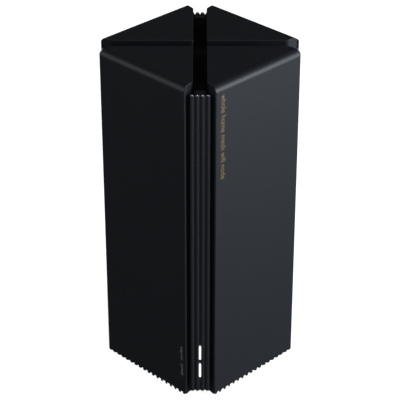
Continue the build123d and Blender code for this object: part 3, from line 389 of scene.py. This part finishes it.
def face_plan(end):
    """Crowned face from one upright edge to the middle, with a pair of points at each notch side."""
    middle = np.array([FACE_MIDDLE, -FACE_MIDDLE])
    half_chord = np.hypot(*(middle - end))
    across = np.array([1.0, 1.0]) / math.sqrt(2)
    outward = np.array([1.0, -1.0]) / math.sqrt(2)
    reach = (end - middle) @ across
    count = int(reach / NOTCH_PITCH)
    steps = (np.arange(-count, count + 1) * NOTCH_PITCH)[:, None]
    sides = steps + np.array([-0.5, -0.5, 0.5, 0.5]) * NOTCH_WIDTH + np.array([-1, 0, 0, 1]) * NOTCH_SLANT
    along = sides.ravel()
    along = along[(along > 0) & (along < reach - 0.6 * MM)]
    along = np.concatenate([[0.0], along, [reach - 0.3 * MM]])
    sag = CROWN * (along / half_chord) ** 2
    points = middle + along[:, None] * across - sag[:, None] * outward
    return points[::-1]


def full_plan():
    """The closed plan, starting and ending at the groove's inner corner."""
    half = half_plan()
    face = face_plan(half[-1])
    side = np.concatenate([half, face])
    mirrored = np.stack([-side[:, 1], -side[:, 0]], axis=-1)[::-1]
    return np.concatenate([side, mirrored[1:-1]])


plan = full_plan()
print("points round one cover:", len(plan))

# %% [markdown]
# ## From plan to moulding
#
# The moulding is one grid. Its columns follow the plan. Its rows first climb the wall, then turn over
# the top edge, then run in to a point in the middle of the flat top. Two roundings meet up there: the
# broad one between face and top, and the fine one round the groove. Both are a drop in height that
# depends only on how far a point lies from that edge, so they can be added together without any
# fillet tool. The first two rows are the inside of the wall, so the shell is hollow and closed. A
# Solidify modifier would be shorter, but its wall folds over itself where an edge is rounder than the
# wall is thick.


# %% Cover surface
def quarter_drop(distance, radius):
    """How far a quarter-round edge lies below its flat top, at a distance in from the side."""
    inside = np.clip(radius - distance, 0, radius)
    return radius - np.sqrt(radius**2 - inside**2)


def face_distance(points):
    """Distance in from the crowned outer face, measured square to it."""
    outward = (points[..., 0] - points[..., 1]) / math.sqrt(2)
    across = (points[..., 0] + points[..., 1]) / math.sqrt(2)
    half_chord = END_DIAGONAL / math.sqrt(2) - MOUTH_HALF * math.sqrt(2)
    crown_line = FACE_MIDDLE * math.sqrt(2) - CROWN * (across / half_chord) ** 2
    return np.clip(crown_line - outward, 0, None)


def outward_normals(points):
    """Unit normals of a closed plan, from the directions of the two neighbouring points."""
    ahead = np.roll(points, -1, axis=0)
    behind = np.roll(points, 1, axis=0)
    along = ahead - behind
    along /= np.hypot(along[:, 0], along[:, 1])[:, None]
    return np.stack([-along[:, 1], along[:, 0]], axis=-1)


def rim_height(points, turn):
    """Where each column of the wall starts: the rim, its notches and corners, or the short skirt."""
    x, y = points[:, 0], -points[:, 1]
    reach = np.maximum(x, y)
    beside = np.minimum(x, y)
    start = np.full(len(points), RIM_Z)
    on_face = face_distance(points) < 0.02 * MM
    across = (points[:, 0] + points[:, 1]) / math.sqrt(2)
    offset = np.abs(across / NOTCH_PITCH - np.round(across / NOTCH_PITCH)) * NOTCH_PITCH
    start[on_face & (offset < NOTCH_WIDTH / 2 + 0.2 * NOTCH_SLANT)] += NOTCH_HEIGHT
    past = np.clip(reach - (EDGE_U - RIM_CORNER_R), 0, RIM_CORNER_R * 0.999)
    start += RIM_CORNER_R - np.sqrt(RIM_CORNER_R**2 - past**2)
    start[(reach < HOLD_U + 0.2 * NOTCH_SLANT) & (beside < GROOVE_HALF + APEX_R)] = SKIRT_Z
    if turn in (90, 180):
        toward_rear = (x > y) == (turn == 180)
        inside_bay = toward_rear & (beside < MOUTH_HALF - CREASE_R) & (reach > HOLD_U + 0.2 * NOTCH_SLANT)
        start[inside_bay] = BAY_TOP_Z
    return start


def cover_points(turn):
    """Rows x columns x 3 points of one cover's outer surface, before it gets its wall."""
    normals = outward_normals(plan)
    facing = normals @ (np.array([1.0, -1.0]) / math.sqrt(2))
    softness = SOFT_EDGE_R * np.clip((0.97 - facing) / 0.25, 0, 1)
    top = HEIGHT - quarter_drop(face_distance(plan), TOP_EDGE_R)
    side_top = top - softness
    start = rim_height(plan, turn)
    middle = (END_DIAGONAL + GROOVE_HALF * math.sqrt(2)) / (2 + math.sqrt(2))
    centre = np.array([middle, -middle])
    inner = plan + (centre - plan) * WALL_SHARE
    rows = [
        np.column_stack([inner, np.full(len(plan), HEIGHT - 2 * WALL)]),
        np.column_stack([inner, start]),
    ]
    for share in (0.0, 0.0015, 0.02, 0.5, 0.97, 0.998, 1.0):
        z = start + (side_top - start) * share
        rows.append(np.column_stack([plan, z]))
    for angle in np.radians([22, 45, 67, 90]):
        moved = plan - normals * SOFT_EDGE_R * (1 - np.cos(angle))
        z = HEIGHT - quarter_drop(face_distance(moved), TOP_EDGE_R) - softness * (1 - np.sin(angle))
        rows.append(np.column_stack([moved, z]))
    edge = rows[-1][:, :2]
    depth = face_distance(centre[None, :])[0]
    reach = TOP_EDGE_R * (1 - np.cos(np.radians(np.linspace(29, 90, 16))))
    shares = (reach - SOFT_EDGE_R) / (depth - SOFT_EDGE_R)
    for share in [0.002, *shares, 0.34, 0.4, 0.5, 0.65, 0.8]:
        moved = edge + (centre - edge) * share
        z = HEIGHT - quarter_drop(face_distance(moved), TOP_EDGE_R)
        rows.append(np.column_stack([moved, z]))
    ends = np.array([[middle, -middle, HEIGHT], [middle, -middle, HEIGHT - 2 * WALL]])
    return np.stack(rows), ends


def make_cover(name, turn):
    """One outer cover: the grid, and a fan at each end that closes the top and the ceiling inside."""
    grid, ends = cover_points(turn)
    rows, columns = grid.shape[:2]
    faces = grid_faces(rows, columns, closed=True)[:, ::-1]
    here = np.arange(columns)
    after = (here + 1) % columns
    last = (rows - 1) * columns
    top_fan = np.stack([last + after, last + here, np.full(columns, rows * columns)], axis=-1)
    ceiling_fan = np.stack([here, after, np.full(columns, rows * columns + 1)], axis=-1)
    points = np.concatenate([grid.reshape(-1, 3), ends])
    piece = put_mesh(name + "_shell", turn_about_z(points, turn), [*faces, *top_fan, *ceiling_fan])
    use_finish(piece, charcoal)
    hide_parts(name)
    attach(piece, "root")
    return piece


COVERS = {"front_right_cover": 0, "rear_right_cover": 90, "rear_left_cover": 180, "front_left_cover": 270}
for cover_name, cover_turn in COVERS.items():
    make_cover(cover_name, cover_turn)
print("covers made:", len(COVERS))

# %% [markdown]
# ## Ribbed corner strips
#
# A strip is a plate with four half-round ribs, each ending in a dome. Seen from the front it is a
# height field: for every place across and up the strip there is one depth. So the ribs could be
# separate cylinders, but a single formula is simpler: inside a rib the surface stands out by the
# circle's height there, and above the rib's end the same circle shrinks as the dome closes.

# %% Corner strips
RIB_PITCH = 3.05 * MM
RIB_R = 1.3 * MM
RIB_U = CREST_U - RIB_R
PLATE_BACK_U = RIB_U - 1.9 * MM
STRIP_HALF = 5.7 * MM
STRIP_NECK_HALF = 3.2 * MM
RIB_END_Z = HEIGHT - 5.2 * MM - RIB_R
SLOPE_RUN = 4.2 * MM
STRIP_SLOPE = 0.6 / 4.2
GUIDE_HALF = (guide_high.x - guide_low.x) / 2 - 0.15 * MM
LIGHT_SLOT_HALF = GUIDE_HALF + 0.05 * MM
RIB_MIDDLES = (np.arange(4) - 1.5) * RIB_PITCH


def strip_columns():
    """Places across the strip: fine steps over each rib, and pairs at the light slot's sides."""
    swing = np.radians(np.linspace(-84, 84, 15))
    over_ribs = (RIB_MIDDLES[:, None] + RIB_R * np.sin(swing)).ravel()
    ends = np.array([-STRIP_HALF - 0.17 * MM, STRIP_HALF + 0.17 * MM])
    slot = np.array([-1, 1])[:, None] * LIGHT_SLOT_HALF + np.array([-1e-6, 1e-6])
    across = np.concatenate([over_ribs, ends, slot.ravel()])
    return np.unique(np.round(across, 9))


def rib_depth(across, height):
    """Depth of the ribbed surface: the plate, or the circle of the nearest rib, closing as a dome."""
    offset = np.min(np.abs(across[..., None] - RIB_MIDDLES), axis=-1)
    above = np.clip(height - RIB_END_Z, 0, None)
    return RIB_U + np.sqrt(np.clip(RIB_R**2 - offset**2 - above**2, 0, None))


def make_strip(name, turn, low, light_zs=()):
    """A ribbed strip as a front height field closed by a flat back, and a plain neck behind it."""
    across = strip_columns()
    dome = RIB_END_Z + RIB_R * np.sin(np.radians([0, 15, 30, 45, 60, 75, 90]))
    plate_top = FLOOR_Z - STRIP_SLOPE * SLOPE_RUN
    back_top = plate_top + (RIB_U - PLATE_BACK_U) * STRIP_SLOPE
    climb = np.linspace(low + 12 * MM, plate_top - 1 * MM, 9)
    heights = [low, low + 0.4 * MM, *climb, plate_top, back_top, *dome]
    for z_low, z_high in light_zs:
        heights += [z_low - 1e-6, z_low + 1e-6, z_high - 1e-6, z_high + 1e-6]
    heights = np.unique(np.round(heights, 9))
    v, z = np.meshgrid(across, heights)
    u = rib_depth(v, z)
    for z_low, z_high in light_zs:
        sunk = (np.abs(v) < LIGHT_SLOT_HALF) & (z > z_low) & (z < z_high)
        u = np.where(sunk, PLATE_BACK_U + 0.4 * MM, u)
    between = (u < RIB_U + 0.01 * MM) & (z > plate_top)
    sloped = RIB_U - (np.minimum(z, back_top) - plate_top) / STRIP_SLOPE
    capped = np.minimum(z, back_top)
    front = np.stack([v, -np.where(between, sloped, u), np.where(between, capped, z)], axis=-1)
    back = np.stack([v, np.full_like(v, -PLATE_BACK_U), capped], axis=-1)
    rows, columns = v.shape
    front_faces = grid_faces(rows, columns, closed=False)
    back_faces = grid_faces(rows, columns, closed=False)[:, ::-1] + rows * columns
    index = np.arange(rows * columns).reshape(rows, columns)
    loop = np.concatenate([index[0, :], index[1:, -1], index[-1, -2::-1], index[-2:0:-1, 0]])
    after = np.roll(loop, -1)
    rim = np.stack([loop, loop + rows * columns, after + rows * columns, after], axis=-1)
    points = np.concatenate([front.reshape(-1, 3), back.reshape(-1, 3)])
    faces = np.concatenate([front_faces, back_faces, rim])
    neck_points, neck_faces = neck_box(low, light_zs)
    neck_faces = neck_faces + len(points)
    points = np.concatenate([points, neck_points])
    piece = put_mesh(name + "_ribs", turn_about_z(points, turn), [*faces, *neck_faces], smooth=True)
    soften_edges(piece)
    # this finish carries the painted highlight on the rib tips
    use_finish(piece, rib_finish_with_painted_highlight)
    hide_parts(name)
    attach(piece, "root")
    return piece


def neck_box(low, light_zs):
    """The neck behind the plate, as a six-sided box whose top slopes with the strip."""
    x = STRIP_NECK_HALF
    top_front = FLOOR_Z - STRIP_SLOPE * (PLATE_BACK_U - (RIB_U - SLOPE_RUN))
    z_low = low if not light_zs else light_zs[-1][1] + 1.2 * MM
    corners = np.array(
        [
            [-x, -PLATE_BACK_U, z_low], [x, -PLATE_BACK_U, z_low], [x, -NECK_U, z_low], [-x, -NECK_U, z_low],
            [-x, -PLATE_BACK_U, top_front], [x, -PLATE_BACK_U, top_front],
            [x, -NECK_U, FLOOR_Z], [-x, -NECK_U, FLOOR_Z],
        ]
    )
    faces = np.array([[0, 3, 2, 1], [4, 5, 6, 7], [0, 1, 5, 4], [1, 2, 6, 5], [2, 3, 7, 6], [3, 0, 4, 7]])
    return corners, faces


def soften_edges(piece, width=0.12 * MM):
    """A narrow bevel on sharp edges, so that each catches a line of light as a moulded edge does."""
    bevel = piece.modifiers.new("edge", "BEVEL")
    bevel.width = width
    bevel.segments = 2
    bevel.limit_method = "ANGLE"
    bevel.angle_limit = math.radians(50)
    bevel.harden_normals = False


GUIDE_LENGTH = 9.6 * MM
GUIDE_END = 0.35 * MM
light_spans = [
    (guide_low.z + GUIDE_END, guide_low.z + GUIDE_END + GUIDE_LENGTH),
    (guide_high.z - GUIDE_END - GUIDE_LENGTH, guide_high.z - GUIDE_END),
]
slot_spans = [(a - 0.05 * MM, b + 0.05 * MM) for a, b in light_spans]
STRIPS = {"front_corner_strip": 0, "right_corner_strip": 90, "left_corner_strip": 270}
for strip_name, strip_turn in STRIPS.items():
    make_strip(strip_name, strip_turn, strip_low.z, slot_spans if strip_turn == 0 else ())
make_strip("rear_corner_strip", 180, rear_strip_low.z)
print("strips made:", len(STRIPS) + 1)

# %% [markdown]
# ## Light guides
#
# Each guide is a rounded bar whose front just shows between the two middle ribs. A box with a bevel
# would do. A superellipse swept from back to front gives the same rounded rectangle as one formula,
# and its last rings shrink a little, so the front edge is soft.

# %% Light guides
def rounded_bar(half_width, half_length, back_u, front_u, centre_z):
    """A superellipse of power 8 carried from back_u to front_u, with two shrinking rings at the front."""
    angle = np.linspace(0, 2 * np.pi, 48, endpoint=False)
    power = 2 / 8
    ring_x = np.sign(np.cos(angle)) * np.abs(np.cos(angle)) ** power * half_width
    ring_z = np.sign(np.sin(angle)) * np.abs(np.sin(angle)) ** power * half_length
    steps = [(back_u, 0.0), (front_u - 0.3 * MM, 0.0), (front_u - 0.09 * MM, 0.06 * MM), (front_u, 0.25 * MM)]
    rings = []
    for u, inset in steps:
        x = ring_x * (1 - inset / half_width)
        z = ring_z * (1 - inset / half_length)
        rings.append(np.stack([x, np.full_like(x, -u), z + centre_z], axis=-1))
    points = np.concatenate(rings)
    count = len(angle)
    sides = grid_faces(len(steps), count, closed=True)
    back_cap = [list(range(count))[::-1]]
    front_cap = [list(range((len(steps) - 1) * count, len(steps) * count))]
    return points, [*sides, *back_cap, *front_cap]


def make_guides():
    points, faces = [], []
    for span_low, span_high in light_spans:
        bar_points, bar_faces = rounded_bar(
            GUIDE_HALF, GUIDE_LENGTH / 2, -guide_high.y, -guide_low.y, (span_low + span_high) / 2
        )
        shift = sum(len(p) for p in points)
        points.append(bar_points)
        faces += [[i + shift for i in f] for f in bar_faces]
    piece = put_mesh("status_light_bars", np.concatenate(points), faces)
    use_finish(piece, lit_guide)
    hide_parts("light_guides")
    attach(piece, "root")
    return piece


make_guides()

# %% [markdown]
# ## Printed marks
#
# The words on the faces are plain generic ones, printed with a soft pad. Print is a skin of
# ink a few hundredths of a millimetre thick, so a flat text outline is made a mesh, and each of its
# points is laid onto the crowned face by formula, a hair proud of it. That keeps the ink on the
# surface even though the face isn't flat.


# %% Printed marks
def ink_material(name, dark, light, metallic, rough):
    return finish_material(name, dark, light, rough, 6000, 0.000004, metallic=metallic, drift=300)


gold_ink = ink_material("gold_ink", (0.30, 0.2, 0.1), (0.42, 0.29, 0.15), 0.6, (0.4, 0.5))
grey_ink = ink_material("grey_ink", (0.3, 0.295, 0.285), (0.36, 0.355, 0.34), 0.0, (0.5, 0.6))


def print_on_face(name, words, from_corner, top_z, letter_height, length, material, mirror):
    """Lay words down a face, reading from top to bottom.

    The text runs along -Z from top_z over length; its letters stand across the face. from_corner is
    the distance of the letters' feet from the front corner line, and mirror places them on the face to
    the left of that corner.
    """
    curve = bpy.data.curves.new(name, "FONT")
    curve.body = words
    source = bpy.data.objects.new(name + "_outline", curve)
    bpy.context.scene.collection.objects.link(source)
    bpy.context.view_layer.update()
    mesh = bpy.data.meshes.new_from_object(source)
    bpy.data.objects.remove(source)
    flat = np.zeros(len(mesh.vertices) * 3)
    mesh.vertices.foreach_get("co", flat)
    flat = flat.reshape(-1, 3)
    low, high = flat.min(0), flat.max(0)
    along = (flat[:, 0] - low[0]) / (high[0] - low[0]) * length
    rise = (flat[:, 1] - low[1]) / (high[1] - low[1]) * letter_height
    z = top_z - along
    # distance along the face from the front corner's upright edge line
    corner_v = from_corner + rise if not mirror else from_corner + letter_height - rise
    across = corner_v - END_DIAGONAL / math.sqrt(2)
    half_chord = END_DIAGONAL / math.sqrt(2) - MOUTH_HALF * math.sqrt(2)
    out = FACE_MIDDLE * math.sqrt(2) - CROWN * (across / half_chord) ** 2 + 0.03 * MM
    x = (out + across) / math.sqrt(2)
    y = (across - out) / math.sqrt(2)
    points = np.stack([x, y, z], axis=-1)
    if mirror:
        points[:, 0] *= -1
    mesh.vertices.foreach_set("co", points.ravel())
    mesh.update()
    piece = bpy.data.objects.new(name, mesh)
    bpy.context.scene.collection.objects.link(piece)
    skin = piece.modifiers.new("ink", "SOLIDIFY")
    skin.thickness = 0.02 * MM
    skin.offset = 0
    use_finish(piece, material)
    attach(piece, "root")
    return piece


print_on_face(
    "gold_wordmark", "whole home mesh wifi node", 16.6 * MM, 203.6 * MM, 4.0 * MM, 53.5 * MM, gold_ink, False
)
print_on_face("upper_light_mark", "signal", 14.6 * MM, 35.2 * MM, 2.3 * MM, 9.5 * MM, grey_ink, True)
print_on_face("lower_light_mark", "power", 14.6 * MM, 22.4 * MM, 2.3 * MM, 8.5 * MM, grey_ink, True)

# %% [markdown]
# ## Finishes for the solids that stay
#
# The rest of the hardware already has its true shape, so it only needs its finish. A table of node
# names by finish reads like a parts list.

# %% Finish the remaining solids
FINISHES = [
    (near_black, ["port_panel", "mesh_button"]),
    (black_inner, ["core_frame", "bottom_cover", "light_shield", "power_jack_housing"]),
    (black_inner, [f"network_jack_insert_{i}" for i in range(1, 5)]),
    (black_inner, ["mesh_switch_body", "reset_switch_body", "mesh_switch_plunger", "reset_switch_plunger"]),
    (foot_rubber, ["rubber_feet"]),
    (steel, [f"network_jack_shell_{i}" for i in range(1, 5)] + ["radio_shields", "capacitors"]),
    (steel, ["base_screws", "cover_screws", "board_screws", "heat_sink_screws", "heat_sink_spacers"]),
    (gold_plate, ["network_jack_contacts", "power_jack_pin", "power_jack_leaf", "antenna_connectors"]),
    (extruded_aluminium, ["heat_sink_left", "heat_sink_right"]),
    (board_green, ["main_board", "led_board", "button_board"]),
    (board_black, ["antenna_front_left", "antenna_front_right", "antenna_rear_left", "antenna_rear_right"]),
    (chip_epoxy, ["processor_chip", "switch_chip", "memory_chips", "radio_chips"]),
    (chip_epoxy, ["line_transformers", "power_coils"]),
    (flex_amber, ["led_flex_cable"]),
    (soft_pad, ["thermal_pads"]),
    (lead_jacket, ["antenna_leads"]),
    (label_film, ["blank_label"]),
    (white_ceramic, ["status_leds"]),
]
for material, names in FINISHES:
    for node_name in names:
        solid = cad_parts[node_name]
        solid.data.materials.clear()
        solid.data.materials.append(material)
print("solids finished:", sum(len(names) for _, names in FINISHES))

# %% [markdown]
# ## Stage, light and camera
#
# The tower stands on a plain pale floor. One broad soft light from the right gives its right faces
# their sheen. A weaker one from the left keeps the left faces from going black, one from the front
# fills the ribs, and a small one high in front puts the dots on the rib tips. The floor neither
# shades nor tints the tower. The camera is a long lens, corner on, looking down by thirty degrees.


# %% Floor
def make_floor():
    size = 6.0
    points = np.array([[-size, -size, 0], [size, -size, 0], [size, size, 0], [-size, size, 0]])
    floor = put_mesh("pale_floor", points, [[0, 1, 2, 3]], smooth=False)
    material = bpy.data.materials.new("pale_floor")
    material.use_nodes = True
    shader = material.node_tree.nodes["Principled BSDF"]
    shader.inputs["Base Color"].default_value = (0.9, 0.9, 0.9, 1)
    shader.inputs["Roughness"].default_value = 0.9
    shader.inputs["Emission Color"].default_value = (1, 1, 1, 1)
    shader.inputs["Emission Strength"].default_value = 0.9
    floor.data.materials.append(material)
    floor.visible_glossy = False
    floor.visible_diffuse = False
    floor.visible_shadow = False
    return floor


make_floor()


# %% Lights
def soft_light(name, place, aim, width, height, watts, colour=(1, 1, 1)):
    """A rectangular area light at a place, turned to face an aim point."""
    lamp = bpy.data.lights.new(name, "AREA")
    lamp.shape = "RECTANGLE"
    lamp.size = width
    lamp.size_y = height
    lamp.energy = watts
    lamp.color = colour
    holder = bpy.data.objects.new(name, lamp)
    bpy.context.scene.collection.objects.link(holder)
    holder.location = place
    direction = aim - holder.location
    holder.rotation_euler = direction.to_track_quat("-Z", "Y").to_euler()
    return holder


middle = Vector((0, 0, HEIGHT / 2))
soft_light("right_softbox", Vector((1.36, -0.35, 0.36)), middle, 0.8, 0.9, 22, (0.88, 0.95, 1.0))
soft_light("left_softbox", Vector((-1.3, -0.1, 0.7)), middle, 0.8, 0.8, 4, (0.93, 0.965, 1.0))

soft_light("front_fill", Vector((0, -1.5, 0.2)), middle, 0.7, 0.7, 3.6, (0.88, 0.95, 1.0))
soft_light("overhead_glint", Vector((0.05, -0.7, 1.4)), middle, 0.1, 0.1, 1.5)

world = bpy.data.worlds.new("pale_room")
world.use_nodes = True
world.node_tree.nodes["Background"].inputs["Color"].default_value = (1, 1, 1, 1)
world.node_tree.nodes["Background"].inputs["Strength"].default_value = 0.05
bpy.context.scene.world = world
bpy.context.scene.view_settings.view_transform = "Standard"

# %% [markdown]
# The camera's place follows from three numbers: how far it stands, how steeply it looks down, and the
# point it looks at, which is the middle of the tower.

# %% Camera
CAMERA_DISTANCE = 0.998
CAMERA_ELEVATION = math.radians(30.0)
lens = bpy.data.cameras.new("portrait_lens")
lens.lens = 147.0
lens.sensor_width = 36.0
lens.clip_end = 50
camera = bpy.data.objects.new("portrait_camera", lens)
bpy.context.scene.collection.objects.link(camera)
camera.location = (
    0,
    -CAMERA_DISTANCE * math.cos(CAMERA_ELEVATION),
    HEIGHT / 2 + CAMERA_DISTANCE * math.sin(CAMERA_ELEVATION),
)
camera.rotation_euler = (math.pi / 2 - CAMERA_ELEVATION, 0, 0)
bpy.context.scene.camera = camera
